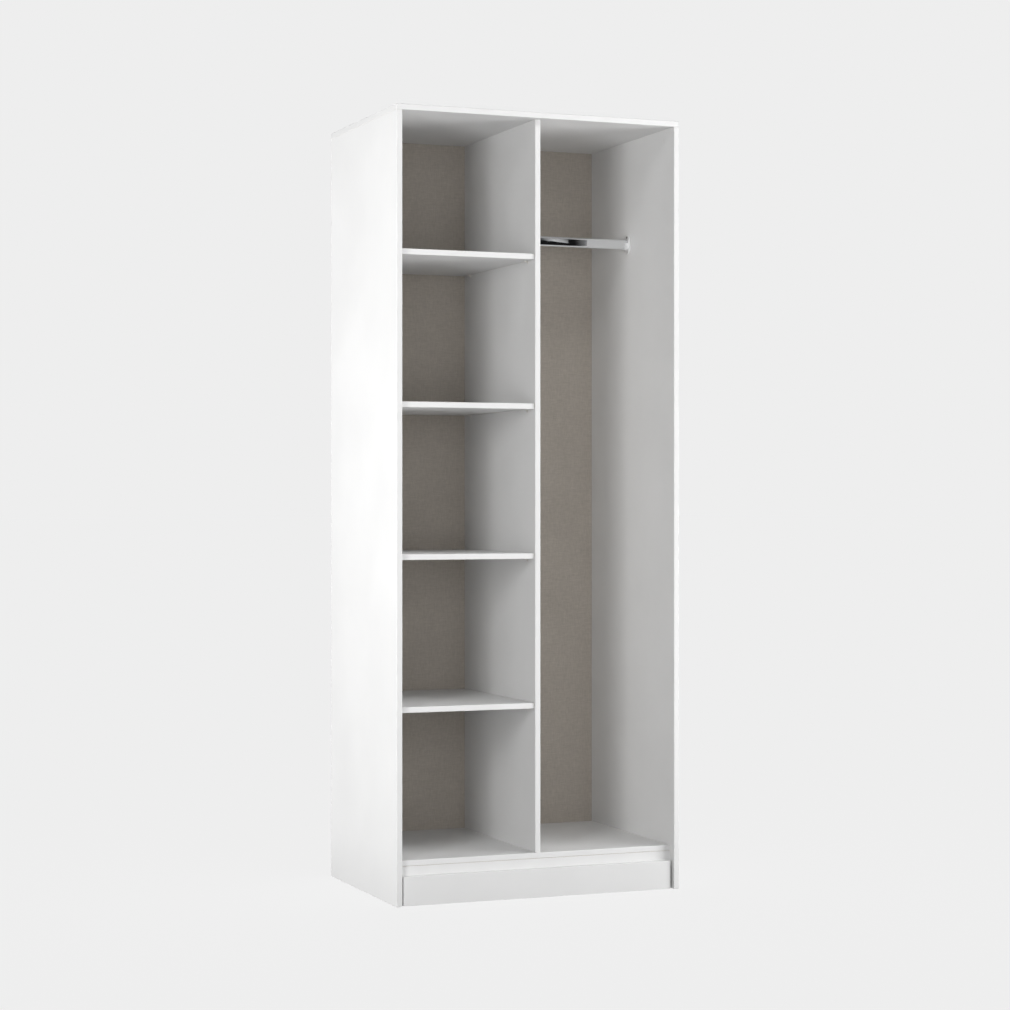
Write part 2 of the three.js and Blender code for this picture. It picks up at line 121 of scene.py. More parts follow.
floor, tree, painted_floor_glow, output = emission_card(
    "floor", (0, 0, low_corner.z), (0, 0, 0), (FLOOR_SIZE, FLOOR_SIZE)
)
painted_floor_glow.inputs["Strength"].default_value = 1
own = tree.nodes.new("ShaderNodeTexCoord")
away = tree.nodes.new("ShaderNodeVectorMath")
away.operation = "LENGTH"
tree.links.new(own.outputs["Object"], away.inputs[0])
furthest = PAINTED_FLOOR_POOL[-1][0]
part_way = tree.nodes.new("ShaderNodeMath")
part_way.operation = "DIVIDE"
part_way.inputs[1].default_value = furthest
tree.links.new(away.outputs["Value"], part_way.inputs[0])
painted_pool_ramp = tree.nodes.new("ShaderNodeValToRGB")
stops = painted_pool_ramp.color_ramp.elements
for metres, strength in PAINTED_FLOOR_POOL[1:-1]:
    stops.new(metres / furthest)
for stop, (metres, strength) in zip(stops, PAINTED_FLOOR_POOL):
    stop.color = (strength, strength, strength, 1)
tree.links.new(part_way.outputs["Value"], painted_pool_ramp.inputs["Fac"])
tree.links.new(painted_pool_ramp.outputs["Color"], painted_floor_glow.inputs["Color"])
# To the camera the floor is one even pale tone with a faint diffuse shade; every other ray sees the painted
# pool of light.
path = tree.nodes.new("ShaderNodeLightPath")
shade = tree.nodes.new("ShaderNodeBsdfDiffuse")
shade.inputs["Color"].default_value = (FLOOR_SHADE, FLOOR_SHADE, FLOOR_SHADE, 1)
lift = tree.nodes.new("ShaderNodeEmission")
lift.inputs["Strength"].default_value = BACKDROP - FLOOR_SHADE * ROOM
seen = tree.nodes.new("ShaderNodeAddShader")
either = tree.nodes.new("ShaderNodeMixShader")
tree.links.new(shade.outputs["BSDF"], seen.inputs[0])
tree.links.new(lift.outputs["Emission"], seen.inputs[1])
tree.links.new(path.outputs["Is Camera Ray"], either.inputs["Fac"])
tree.links.new(painted_floor_glow.outputs["Emission"], either.inputs[1])
tree.links.new(seen.outputs["Shader"], either.inputs[2])
tree.links.new(either.outputs["Shader"], output.inputs["Surface"])

# The lamps light everything but the floor.
lit = bpy.data.collections.new("lit by the lamps")
lit.objects.link(floor)
lit.collection_objects[0].light_linking.link_state = "EXCLUDE"


def lamp(name, bearing, distance, height, size, watts):
    """A soft box that looks at the wardrobe. Its bearing is in degrees from the front, to the right."""
    turn = math.radians(bearing)
    place = Vector((distance * math.sin(turn), -distance * math.cos(turn), height))
    aim = Vector((0, 0, (height + LAMPS_AIM) / 2)) - place
    bpy.ops.object.light_add(type="AREA", location=place, rotation=aim.to_track_quat("-Z", "Y").to_euler())
    made = bpy.context.object
    made.name = name
    made.data.shape = "RECTANGLE"
    made.data.size, made.data.size_y = size
    made.data.energy = watts
    made.light_linking.receiver_collection = lit


lamp("left_side", bearing=-95, distance=3.4, height=1.5, size=(1.2, 1.6), watts=98)
lamp("front_left", bearing=-45, distance=3.4, height=1.1, size=(0.75, 2.2), watts=33)
lamp("front_left_high", bearing=-45, distance=3.4, height=1.9, size=(0.75, 0.9), watts=16)
lamp("front_right", bearing=60, distance=3.4, height=1.3, size=(0.8, 2.2), watts=61)
lamp("front_right_low", bearing=45, distance=3.4, height=0.5, size=(0.8, 0.8), watts=30)
lamp("front_fill", bearing=-10, distance=3.6, height=1.2, size=(1.0, 1.6), watts=17)
lamp("over_left", bearing=-20, distance=2.4, height=3.6, size=(1.2, 0.8), watts=14)
lamp("over_right", bearing=35, distance=2.4, height=3.4, size=(1.2, 0.8), watts=27)
lamp("back_right", bearing=150, distance=3.4, height=1.6, size=(1.2, 1.6), watts=60)
lamp("back_over", bearing=180, distance=1.8, height=4.2, size=(1.4, 1.0), watts=52)


# ---------------- sides
# Two tall chipboard panels faced with white melamine. Their front edges carry a thick white plastic band
# with rounded corners, the other edges are left raw, and a groove down the back holds the back panels.
BAND = 0.002
BAND_ROUND = 0.0018
BAND_STEPS = 4
BAND_SHORT = 0.0016
RAW_EDGE = 0.0002
FINGER = 0.00005


def clear_selection():
    if bpy.context.object and bpy.context.object.mode == "EDIT":
        bpy.ops.object.mode_set(mode="OBJECT")
    bpy.ops.object.select_all(action="DESELECT")


def activate(piece):
    clear_selection()
    piece.select_set(True)
    bpy.context.view_layer.objects.active = piece


def settle(name):
    """Names the active object and moves its place, turn and size into its mesh."""
    bpy.ops.object.transform_apply(location=True, rotation=True, scale=True)
    piece = bpy.context.object
    piece.name = piece.data.name = name
    return piece


def block(name, low, high):
    clear_selection()
    bpy.ops.mesh.primitive_cube_add(size=1, location=(low + high) / 2, scale=high - low)
    return settle(name)


def select_edges(wanted):
    """In edit mode, selects the edges that wanted(start, end) picks."""
    bpy.ops.mesh.select_mode(type="EDGE")
    bpy.ops.mesh.select_all(action="DESELECT")
    shape = bmesh.from_edit_mesh(bpy.context.object.data)
    for edge in shape.edges:
        edge.select_set(wanted(edge.verts[0].co, edge.verts[1].co))
    bmesh.update_edit_mesh(bpy.context.object.data)


def apply_modifiers(piece):
    activate(piece)
    for modifier in list(piece.modifiers):
        bpy.ops.object.modifier_apply(modifier=modifier.name)


def smooth_over(degrees):
    """Shades the active piece smooth over edges flatter than this. Its flat faces stay flat."""
    piece = bpy.context.object
    bpy.ops.object.shade_smooth_by_angle(angle=math.radians(degrees))
    weighing = piece.modifiers.new("weighted normals", "WEIGHTED_NORMAL")
    weighing.keep_sharp = True
    apply_modifiers(piece)


def cut_away(piece, cutters):
    """Cuts the cutters out of the piece in one go, and removes them."""
    activate(cutters[0])
    for cutter in cutters:
        cutter.select_set(True)
    if len(cutters) > 1:
        bpy.ops.object.join()
    whole = bpy.context.object
    cut = piece.modifiers.new("cut", "BOOLEAN")
    cut.operation = "DIFFERENCE"
    cut.solver = "EXACT"
    cut.object = whole
    apply_modifiers(piece)
    bpy.data.objects.remove(whole)


def rod(name, start, end, radius, sides=24, end_radius=None):
    """A round bar, or a cone, between two points."""
    along = end - start
    clear_selection()
    bpy.ops.mesh.primitive_cone_add(
        vertices=sides,
        radius1=radius,
        radius2=radius if end_radius is None else end_radius,
        depth=along.length,
        location=(start + end) / 2,
        rotation=along.to_track_quat("Z", "Y").to_euler(),
    )
    return settle(name)


UP = Vector((0, 0, 1))
DOWN = Vector((0, 0, -1))
DIRECTIONS = {
    "left": Vector((-1, 0, 0)),
    "right": Vector((1, 0, 0)),
    "front": Vector((0, -1, 0)),
    "back": Vector((0, 1, 0)),
    "down": DOWN,
    "up": UP,
}


def reach(low, high, side):
    """How far the box reaches along that side's direction."""
    way = DIRECTIONS[side]
    return max(way.dot(low), way.dot(high))


def chamfer(wanted, width, steps=1):
    """Bevels those edges of the active piece that wanted(start, end) picks."""
    bpy.ops.object.mode_set(mode="EDIT")
    select_edges(wanted)
    bpy.ops.mesh.bevel(offset=width, segments=steps, profile=0.5, affect="EDGES")
    bpy.ops.object.mode_set(mode="OBJECT")


def every_edge(start, end):
    return True


def crosswise_at(x):
    """Picks the edges that lie in the plane across X at x."""
    return lambda start, end: abs(start.x - x) < FINGER and abs(end.x - x) < FINGER


def trimmed(low, high, side, thickness):
    """The two boxes that the given side's outer layer splits a box into: the rest, and the layer."""
    way = DIRECTIONS[side]
    rest = [low.copy(), high.copy()]
    layer = [low.copy(), high.copy()]
    axis = max(range(3), key=lambda k: abs(way[k]))
    if way[axis] > 0:
        rest[1][axis] = layer[0][axis] = high[axis] - thickness
    else:
        rest[0][axis] = layer[1][axis] = low[axis] + thickness
    return rest, layer


def new_group(name, inputs, outputs):
    """A shader node group with its input and output nodes."""
    group = bpy.data.node_groups.new(name, "ShaderNodeTree")
    for label, kind, value in inputs:
        made = group.interface.new_socket(name=label, in_out="INPUT", socket_type=kind)
        made.default_value = value
    for label, kind in outputs:
        group.interface.new_socket(name=label, in_out="OUTPUT", socket_type=kind)
    return group, group.nodes.new("NodeGroupInput"), group.nodes.new("NodeGroupOutput")


def noise(tree, vector, scale, detail=2.0, roughness=0.5):
    made = tree.nodes.new("ShaderNodeTexNoise")
    made.inputs["Scale"].default_value = scale
    made.inputs["Detail"].default_value = detail
    made.inputs["Roughness"].default_value = roughness
    tree.links.new(vector, made.inputs["Vector"])
    return made.outputs["Fac"]


def spread(tree, value, low, high, start=0.0, end=1.0):
    """Maps the value's stretch from low to high onto start to end, and holds it there."""
    made = tree.nodes.new("ShaderNodeMapRange")
    made.inputs["From Min"].default_value = low
    made.inputs["From Max"].default_value = high
    made.inputs["To Min"].default_value = start
    made.inputs["To Max"].default_value = end
    tree.links.new(value, made.inputs["Value"])
    return made.outputs["Result"]


def blend_colours(tree, factor, first, second):
    """Each colour is a socket or four numbers."""
    made = tree.nodes.new("ShaderNodeMix")
    made.data_type = "RGBA"
    tree.links.new(factor, made.inputs["Factor"])
    for label, colour in (("A", first), ("B", second)):
        socket = next(s for s in made.inputs if s.name == label and s.type == "RGBA")
        if isinstance(colour, tuple):
            socket.default_value = colour
        else:
            tree.links.new(colour, socket)
    return next(s for s in made.outputs if s.type == "RGBA")


def calculate(tree, operation, first, second):
    made = tree.nodes.new("ShaderNodeMath")
    made.operation = operation
    for socket, value in zip(made.inputs, (first, second)):
        if isinstance(value, (int, float)):
            socket.default_value = value
        else:
            tree.links.new(value, socket)
    return made.outputs["Value"]


def place_on_piece(tree, stretch=(1, 1, 1)):
    """Object coordinates in metres, stretched."""
    where = tree.nodes.new("ShaderNodeTexCoord")
    mapping = tree.nodes.new("ShaderNodeMapping")
    mapping.inputs["Scale"].default_value = stretch
    tree.links.new(where.outputs["Object"], mapping.inputs["Vector"])
    return mapping.outputs["Vector"]


def new_material(name, **sockets):
    made = bpy.data.materials.new(name)
    made.use_nodes = True
    tree = made.node_tree
    shader = tree.nodes["Principled BSDF"]
    for label, value in sockets.items():
        shader.inputs[label.replace("_", " ")].default_value = value
    return made, tree, shader


def emboss(tree, shader, height, depth, strength=1.0):
    """Feeds a height, where 1 stands depth metres high, into the shader's normal."""
    bump = tree.nodes.new("ShaderNodeBump")
    bump.inputs["Distance"].default_value = depth
    bump.inputs["Strength"].default_value = strength
    tree.links.new(height, bump.inputs["Height"])
    tree.links.new(bump.outputs["Normal"], shader.inputs["Normal"])


# What hands and dusters leave: a soft mask of slightly duller patches and streaks.
handling, entry, leave = new_group(
    "handling marks",
    [("Vector", "NodeSocketVector", (0, 0, 0)), ("Scale", "NodeSocketFloat", 3.0)],
    [("Mask", "NodeSocketFloat")],
)
patches = handling.nodes.new("ShaderNodeTexNoise")
patches.inputs["Detail"].default_value = 4
patches.inputs["Distortion"].default_value = 0.6
handling.links.new(entry.outputs["Vector"], patches.inputs["Vector"])
handling.links.new(entry.outputs["Scale"], patches.inputs["Scale"])
streaks = noise(handling, entry.outputs["Vector"], 46, 3)
soft = spread(handling, patches.outputs["Fac"], 0.42, 0.68)
fine = spread(handling, streaks, 0.45, 0.75)
dull = calculate(handling, "MULTIPLY", soft, calculate(handling, "ADD", fine, 0.4))
handling.links.new(dull, leave.inputs["Mask"])


def marks(tree, vector, scale):
    made = tree.nodes.new("ShaderNodeGroup")
    made.node_tree = handling
    made.inputs["Scale"].default_value = scale
    tree.links.new(vector, made.inputs["Vector"])
    return made.outputs["Mask"]


WHITE = (0.735, 0.735, 0.733, 1)
WHITE_SHADE = (0.715, 0.715, 0.713, 1)


def melamine_material():
    """Satin melamine with the very fine pearl that the press plate leaves in it."""
    made, tree, shader = new_material("white melamine", Specular_IOR_Level=0.4)
    where = place_on_piece(tree)
    clouds = spread(tree, noise(tree, where, 5, 3), 0.35, 0.65)
    tree.links.new(blend_colours(tree, clouds, WHITE, WHITE_SHADE), shader.inputs["Base Color"])
    tree.links.new(spread(tree, marks(tree, where, 3), 0, 1, 0.44, 0.56), shader.inputs["Roughness"])
    pearl = noise(tree, where, 1300, 2)
    sweep = noise(tree, where, 260, 1)
    emboss(tree, shader, calculate(tree, "ADD", pearl, sweep), 0.00002, 0.6)
    return made


def plain_finish(name, colour, shade, clouds, handled, roughness, grain, depth, strength=0.5, **sockets):
    """Two close tones in clouds, duller patches where it was handled, and a fine grain.
    clouds holds the noise's scale and detail and the stretch of it that goes from one tone to the other."""
    made, tree, shader = new_material(name, **sockets)
    where = place_on_piece(tree)
    scale, detail, low, high = clouds
    mixed = spread(tree, noise(tree, where, scale, detail), low, high)
    tree.links.new(blend_colours(tree, mixed, colour, shade), shader.inputs["Base Color"])
    tree.links.new(spread(tree, marks(tree, where, handled), 0, 1, *roughness), shader.inputs["Roughness"])
    emboss(tree, shader, noise(tree, where, grain, 2), depth, strength)
    return made


def chipboard_material():
    """The raw core: pressed flakes of pale wood, finer towards the faces."""
    made, tree, shader = new_material("raw chipboard")
    where = place_on_piece(tree, (1, 1, 1.6))
    flakes = tree.nodes.new("ShaderNodeTexVoronoi")
    flakes.inputs["Scale"].default_value = 480
    flakes.inputs["Randomness"].default_value = 1
    tree.links.new(where, flakes.inputs["Vector"])
    tone = tree.nodes.new("ShaderNodeSeparateColor")
    tree.links.new(flakes.outputs["Color"], tone.inputs["Color"])
    base = blend_colours(tree, tone.outputs["Red"], (0.42, 0.27, 0.14, 1), (0.66, 0.49, 0.30, 1))
    dark = spread(tree, noise(tree, where, 900, 3), 0.5, 0.72, 0.0, 0.7)
    tree.links.new(blend_colours(tree, dark, base, (0.20, 0.12, 0.06, 1)), shader.inputs["Base Color"])
    shader.inputs["Roughness"].default_value = 0.9
    emboss(tree, shader, flakes.outputs["Distance"], 0.0003, 0.7)
    return made


melamine = melamine_material()
# The band is white plastic, plainer and a little glossier than the boards' faces.
edge_band = plain_finish(
    "white edge band", WHITE, (0.72, 0.72, 0.718, 1), (14, 2, 0.35, 0.65), 6, (0.34, 0.46), 900, 0.00001,
    Specular_IOR_Level=0.45,
)
chipboard = chipboard_material()


def finish_board(piece, low, high, raw):
    """Melamine all over, and chipboard on the raw edges and inside every bore and groove."""
    piece.data.materials.append(melamine)
    piece.data.materials.append(chipboard)
    skin = 2 * RAW_EDGE
    thin = min(range(3), key=lambda k: high[k] - low[k])
    for face in piece.data.polygons:
        middle = face.center
        depth = min(min(middle[k] - low[k], high[k] - middle[k]) for k in range(3))
        across = abs(face.normal[thin]) < 0.5
        on_raw_edge = any(reach(low, high, side) - DIRECTIONS[side].dot(middle) < skin for side in raw)
        face.material_index = 1 if (across and on_raw_edge) or depth > skin else 0


def board(name, node, banded=(), bores=(), body="carcass", short=0.0):
    """A board that stands for the node: edge bands on the named sides, and the bores and grooves cut.
    The bands stop short of the board's upper end by that much."""
    low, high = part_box(node)
    thin = min(range(3), key=lambda k: high[k] - low[k])
    bands = []
    for side in banded:
        (low, high), (band_low, band_high) = trimmed(low, high, side, BAND)
        bands.append((side, band_low, band_high))
    raw = [side for side, way in DIRECTIONS.items() if not way[thin] and side not in banded]

    core = block(name, low, high)
    chamfer(every_edge, RAW_EDGE)
    if bores:
        cut_away(core, list(bores))
    finish_board(core, low, high, raw)
    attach(core, body)
    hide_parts(node)
    for side, band_low, band_high in bands:
        edge_strip(f"{name}_band_{side}", side, band_low, band_high - Vector((0, 0, short)), body)


def edge_strip(name, side, low, high, body):
    """A glued-on band: a thin strip whose outer corners are rounded over."""
    strip = block(name, low, high)
    outer = reach(low, high, side)
    way = DIRECTIONS[side]
    chamfer(lambda a, b: min(way.dot(a), way.dot(b)) > outer - FINGER, BAND_ROUND, BAND_STEPS)
    chamfer(lambda a, b: max(way.dot(a), way.dot(b)) < outer - BAND + FINGER, RAW_EDGE / 2)
    strip.data.materials.append(edge_band)
    smooth_over(35)
    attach(strip, body)


PIN_PEG = 0.0024
PIN_COLLAR = 0.004
PEG_DEPTH = 0.008
BOLT_BORE = 0.0039
THREAD_BORE = 0.00275
GLIDE_NAIL_BORE = 0.0013
SOCKET_SCREW_BORE = 0.0019
DOWEL_BORE = 0.0043
BORE_GAP = 0.00035
GROOVE_GAP = 0.0003
DEEPER = 0.001
PLACES = ("front", "back")
SHELVES = range(1, 5)


def bore(mouth, into, radius, depth):
    """A cutter for a blind bore, from a little outside the board."""
    return rod("bore", mouth - into * DEEPER, mouth + into * depth, radius)


def middle_of(node):
    low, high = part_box(node)
    return (low + high) / 2


def radius_of(node, axis):
    """The radius of a round piece that lies along that axis."""
    low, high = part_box(node)
    across = [high[k] - low[k] for k in range(3) if k != axis]
    return min(across) / 2


back_low, back_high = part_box("back_panel_left")
back_front, back_rear = back_low.y, back_high.y
groove_front = back_front - GROOVE_GAP
groove_rear = back_rear + GROOVE_GAP


def side_bores(side, inner, outwards):
    """Everything drilled and milled into a side, from where its fittings are."""
    low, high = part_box(f"{side}_side")
    way = Vector((outwards, 0, 0))
    cutters = []
    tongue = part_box(f"back_panel_{side}")
    groove_floor = (tongue[1].x if outwards > 0 else tongue[0].x) + outwards * GROOVE_GAP
    mouth = inner - outwards * DEEPER
    cutters.append(block(
        "groove",
        Vector((min(groove_floor, mouth), groove_front, low.z - DEEPER)),
        Vector((max(groove_floor, mouth), groove_rear, high.z + DEEPER)),
    ))
    for place in PLACES:
        cam = middle_of(f"cam_top_{side}_{place}")
        cam_radius = radius_of(f"cam_top_{side}_{place}", 0) + 2 * BORE_GAP
        cam_low, cam_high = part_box(f"cam_top_{side}_{place}")
        depth = cam_high.x - cam_low.x + 2 * BORE_GAP
        cutters.append(bore(Vector((inner, cam.y, cam.z)), way, cam_radius, depth))
        bolt = middle_of(f"bolt_top_{side}_{place}")
        cutters.append(bore(Vector((bolt.x, bolt.y, high.z)), DOWN, BOLT_BORE, high.z - cam.z))
        base = middle_of(f"bolt_base_{side}_{place}")
        base_low, base_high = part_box(f"bolt_base_{side}_{place}")
        end = base_high.x if outwards > 0 else base_low.x
        cutters.append(bore(Vector((inner, base.y, base.z)), way, THREAD_BORE, abs(end - inner) + DEEPER))
        glide = middle_of(f"glide_{side}_{place}")
        nail_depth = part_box(f"glide_{side}_{place}")[1].z - low.z + GROOVE_GAP
        cutters.append(bore(Vector((glide.x, glide.y, low.z)), UP, GLIDE_NAIL_BORE, nail_depth))
    return cutters


def pin_bores(side, inner, outwards):
    cutters = []
    for shelf in SHELVES:
        for place in PLACES:
            pin_low, pin_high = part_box(f"shelf_{shelf}_pin_{side}_{place}")
            mouth = Vector((inner, (pin_low.y + pin_high.y) / 2, pin_high.z - PIN_COLLAR))
            way = Vector((outwards, 0, 0))
            cutters.append(bore(mouth, way, PIN_PEG + BORE_GAP, PEG_DEPTH + DEEPER))
    return cutters


def socket_bores(side, inner, outwards):
    """The rail socket's spigot below, and its screw above."""
    screw_low, screw_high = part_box(f"rail_screw_{side}")
    rail = middle_of("hanging_rail")
    screw_z = (screw_low.z + screw_high.z) / 2
    spigot_z = 2 * rail.z - screw_z
    way = Vector((outwards, 0, 0))
    screw_end = screw_high.x if outwards > 0 else screw_low.x
    return [
        bore(Vector((inner, rail.y, screw_z)), way, SOCKET_SCREW_BORE, abs(screw_end - inner) + DEEPER),
        bore(Vector((inner, rail.y, spigot_z)), way, PIN_PEG + BORE_GAP, PEG_DEPTH + DEEPER),
    ]


left_low, left_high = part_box("left_side")
right_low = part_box("right_side")[0]
left_bores = side_bores("left", left_high.x, -1) + pin_bores("left", left_high.x, -1)
right_bores = side_bores("right", right_low.x, 1) + socket_bores("right", right_low.x, 1)
board("side_left", "left_side", banded=["front"], bores=left_bores, short=BAND_SHORT)
board("side_right", "right_side", banded=["front"], bores=right_bores, short=BAND_SHORT)


# ---------------- top and bottom panel, partition
# The same board. The top panel lies over the sides and is banded at the front and at both ends. The
# bottom panel and the partition stand back from the front, and dowels hold the partition between them.
def dowel_bore(place, into):
    """One dowel's bore, upwards or downwards from the seam that the dowel crosses."""
    low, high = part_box(f"dowel_{place}")
    middle = (low + high) / 2
    seam = partition_high.z if place.startswith("top") else partition_low.z
    end = high.z if into.z > 0 else low.z
    return bore(Vector((middle.x, middle.y, seam)), into, DOWEL_BORE, abs(end - seam) + DEEPER)


top_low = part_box("top_panel")[0]
bottom_low, bottom_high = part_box("bottom_panel")
partition_low, partition_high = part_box("partition")
back_right_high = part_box("back_panel_right")[1]

top_bores = [block(
    "groove",
    Vector((back_low.x - GROOVE_GAP, groove_front, top_low.z - DEEPER)),
    Vector((back_right_high.x + GROOVE_GAP, groove_rear, back_high.z + GROOVE_GAP)),
)]
bottom_bores = []
partition_bores = pin_bores("right", partition_low.x, 1) + socket_bores("left", partition_high.x, -1)
for place in PLACES:
    top_bores.append(dowel_bore(f"top_{place}", UP))
    bottom_bores.append(dowel_bore(f"base_{place}", DOWN))
    partition_bores.append(dowel_bore(f"top_{place}", DOWN))
    partition_bores.append(dowel_bore(f"base_{place}", UP))
    for side, outwards in (("left", -1), ("right", 1)):
        bolt = middle_of(f"bolt_top_{side}_{place}")
        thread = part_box(f"bolt_top_{side}_{place}")[1].z - top_low.z
        top_bores.append(bore(Vector((bolt.x, bolt.y, top_low.z)), UP, THREAD_BORE, thread + DEEPER))
        cam = middle_of(f"cam_base_{side}_{place}")
        cam_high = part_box(f"cam_base_{side}_{place}")[1]
        cam_radius = radius_of(f"cam_base_{side}_{place}", 2) + 2 * BORE_GAP
        cam_depth = cam_high.z - bottom_low.z + 2 * BORE_GAP
        bottom_bores.append(bore(Vector((cam.x, cam.y, bottom_low.z)), UP, cam_radius, cam_depth))
        edge = bottom_high.x if outwards > 0 else bottom_low.x
        bolt = middle_of(f"bolt_base_{side}_{place}")
        into = Vector((-outwards, 0, 0))
        bottom_bores.append(bore(Vector((edge, bolt.y, bolt.z)), into, BOLT_BORE, abs(cam.x - edge)))
board("top", "top_panel", banded=["front", "left", "right"], bores=top_bores)
board("bottom", "bottom_panel", banded=["front"], bores=bottom_bores)
board("centre_partition", "partition", banded=["front"], bores=partition_bores)


# ---------------- base
# The same board. Two rails on edge carry the bottom panel, and the plinth board stands against the face of
# the front one. It is lower than the rail, banded along its top and both ends, and clears the sides.
board("base_rail_at_front", "base_rail_front", banded=["down"])
board("base_rail_at_back", "base_rail_back", banded=["down"])
board("plinth", "plinth_board", banded=["up", "left", "right"])


# ---------------- shelves
# Four loose melamine boards, all alike, banded at the front and raw at the other edges. They are only laid
# on their pins, and draw out to the front.
for shelf in SHELVES:
    board(f"shelf_board_{shelf}", f"shelf_{shelf}", banded=["front"], body=f"shelf_{shelf}")


# ---------------- back panels
# Two sheets of thin hardboard, printed with a grey-brown linen on the inside and left bare behind. They
# stand in the grooves of the sides and the top, meet behind the partition, and are nailed on from behind.
LINEN_LIGHT = (0.569, 0.519, 0.461, 1)
LINEN_DARK = (0.390, 0.352, 0.308, 1)
THREADS = 1250
SCREEN = 2400


def waves(tree, socket, rate):
    return calculate(tree, "SINE", calculate(tree, "MULTIPLY", socket, rate), 0)


def linen_material():
    """A printed linen: fine warp and weft with slubs, thicker stretches of thread, both ways."""
    made, tree, shader = new_material("linen print", Specular_IOR_Level=0.3)
    shader.inputs["Roughness"].default_value = 0.62
    where = place_on_piece(tree)
    split = tree.nodes.new("ShaderNodeSeparateXYZ")
    tree.links.new(where, split.inputs["Vector"])
    warp = waves(tree, split.outputs["X"], THREADS * math.tau)
    weft = waves(tree, split.outputs["Z"], THREADS * math.tau)
    weave = spread(tree, calculate(tree, "MULTIPLY", warp, weft), -1, 1)
    upright = noise(tree, place_on_piece(tree, (310, 1, 52)), 1, 3, 0.6)
    level = noise(tree, place_on_piece(tree, (48, 1, 340)), 1, 3, 0.6)
    crossing = calculate(tree, "ADD", spread(tree, upright, 0.3, 0.7), spread(tree, level, 0.3, 0.7))
    slubs = calculate(tree, "MULTIPLY", crossing, 0.5)
    worn = spread(tree, noise(tree, where, 7, 2), 0.35, 0.65, 0, 0.12)
    coarse = calculate(tree, "MULTIPLY", slubs, 0.75)
    fine_weave = calculate(tree, "MULTIPLY", weave, 0.16)
    tone = calculate(tree, "ADD", calculate(tree, "ADD", coarse, fine_weave), worn)
    tree.links.new(blend_colours(tree, tone, LINEN_DARK, LINEN_LIGHT), shader.inputs["Base Color"])
    emboss(tree, shader, calculate(tree, "ADD", weave, slubs), 0.00004, 0.5)
    return made


def hardboard_material():
    """The bare back of the hardboard: pressed brown fibre with the print of the press screen."""
    made, tree, shader = new_material("bare hardboard")
    shader.inputs["Roughness"].default_value = 0.82
    where = place_on_piece(tree)
    fibres = noise(tree, where, 700, 4, 0.7)
    clouds = noise(tree, where, 9, 3)
    fibre_tone = spread(tree, fibres, 0.3, 0.7)
    base = blend_colours(tree, fibre_tone, (0.19, 0.115, 0.065, 1), (0.33, 0.215, 0.13, 1))
    lighter = spread(tree, clouds, 0.4, 0.7, 0, 0.35)
    tree.links.new(blend_colours(tree, lighter, base, (0.38, 0.26, 0.17, 1)), shader.inputs["Base Color"])
    split = tree.nodes.new("ShaderNodeSeparateXYZ")
    tree.links.new(where, split.inputs["Vector"])
    across = waves(tree, split.outputs["X"], SCREEN)
    up = waves(tree, split.outputs["Z"], SCREEN)
    screen = calculate(tree, "MULTIPLY", calculate(tree, "MULTIPLY", across, up), 0.5)
    emboss(tree, shader, calculate(tree, "ADD", screen, fibres), 0.00012, 0.7)
    return made


linen = linen_material()
hardboard = hardboard_material()
for side in ("left", "right"):
    low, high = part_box(f"back_panel_{side}")
    panel = block(f"back_{side}", low, high)
    chamfer(every_edge, RAW_EDGE)
    panel.data.materials.append(linen)
    panel.data.materials.append(hardboard)
    for face in panel.data.polygons:
        face.material_index = 0 if face.normal.y < -0.9 else 1
    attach(panel, "carcass")
    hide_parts(f"back_panel_{side}")


# ---------------- back nails
# Blued wire nails with flat heads, driven through the back panels into the partition and the bottom panel.
# They are all alike, so one is made and the others are copies of it.
NAIL_HEAD = 0.0022
NAIL_HEAD_THICK = 0.0007
NAIL_SHANK = 0.0008
NAIL_LENGTH = 0.022
NAIL_PITCH = 0.15
NAIL_FROM_SEAM = 0.0045
NAIL_SIDES = 16
POINT = 0.0001


def metal_material(name, colour, roughness, dulled, grain, depth, metallic=1):
    """Plated or cast metal."""
    shade = tuple(0.86 * c for c in colour[:3]) + (1,)
    return plain_finish(
        name, colour, shade, (60, 3, 0.4, 0.7), 25, (roughness, dulled), grain, depth, Metallic=metallic
    )


blued_steel = metal_material("blued steel", (0.23, 0.24, 0.27, 1), 0.4, 0.6, 1500, 0.00003)


def turn_about(name, mouth, out, profile, sides=24):
    """A turned piece. The profile lists (height, radius) along out from mouth, bottom to top."""
    clear_selection()
    bpy.ops.mesh.primitive_circle_add(vertices=sides, radius=profile[0][1], fill_type="NGON")
    bpy.ops.object.mode_set(mode="EDIT")
    bpy.ops.mesh.select_all(action="SELECT")
    bpy.ops.transform.translate(value=(0, 0, profile[0][0]))
    for (height, radius), (next_height, next_radius) in zip(profile, profile[1:]):
        bpy.ops.mesh.extrude_region_move(TRANSFORM_OT_translate={"value": (0, 0, next_height - height)})
        growth = next_radius / radius
        bpy.ops.transform.resize(value=(growth, growth, 1))
    bpy.ops.mesh.select_all(action="SELECT")
    bpy.ops.mesh.normals_make_consistent(inside=False)
    bpy.ops.object.mode_set(mode="OBJECT")
    piece = bpy.context.object
    piece.rotation_euler = out.to_track_quat("Z", "Y").to_euler()
    piece.location = mouth
    return settle(name)


def copy_to(piece, name, offset):
    """A copy with its own mesh, moved in its mesh."""
    twin = piece.copy()
    twin.data = piece.data.copy()
    twin.name = twin.data.name = name
    scene.collection.objects.link(twin)
    activate(twin)
    bpy.ops.object.mode_set(mode="EDIT")
    bpy.ops.mesh.select_all(action="SELECT")
    bpy.ops.transform.translate(value=offset)
    bpy.ops.object.mode_set(mode="OBJECT")
    return twin


def steps_between(start, end, pitch):
    """Evenly spaced places from start to end, no more than pitch apart."""
    count = math.ceil((end - start) / pitch)
    return [start + (end - start) * k / count for k in range(count + 1)]


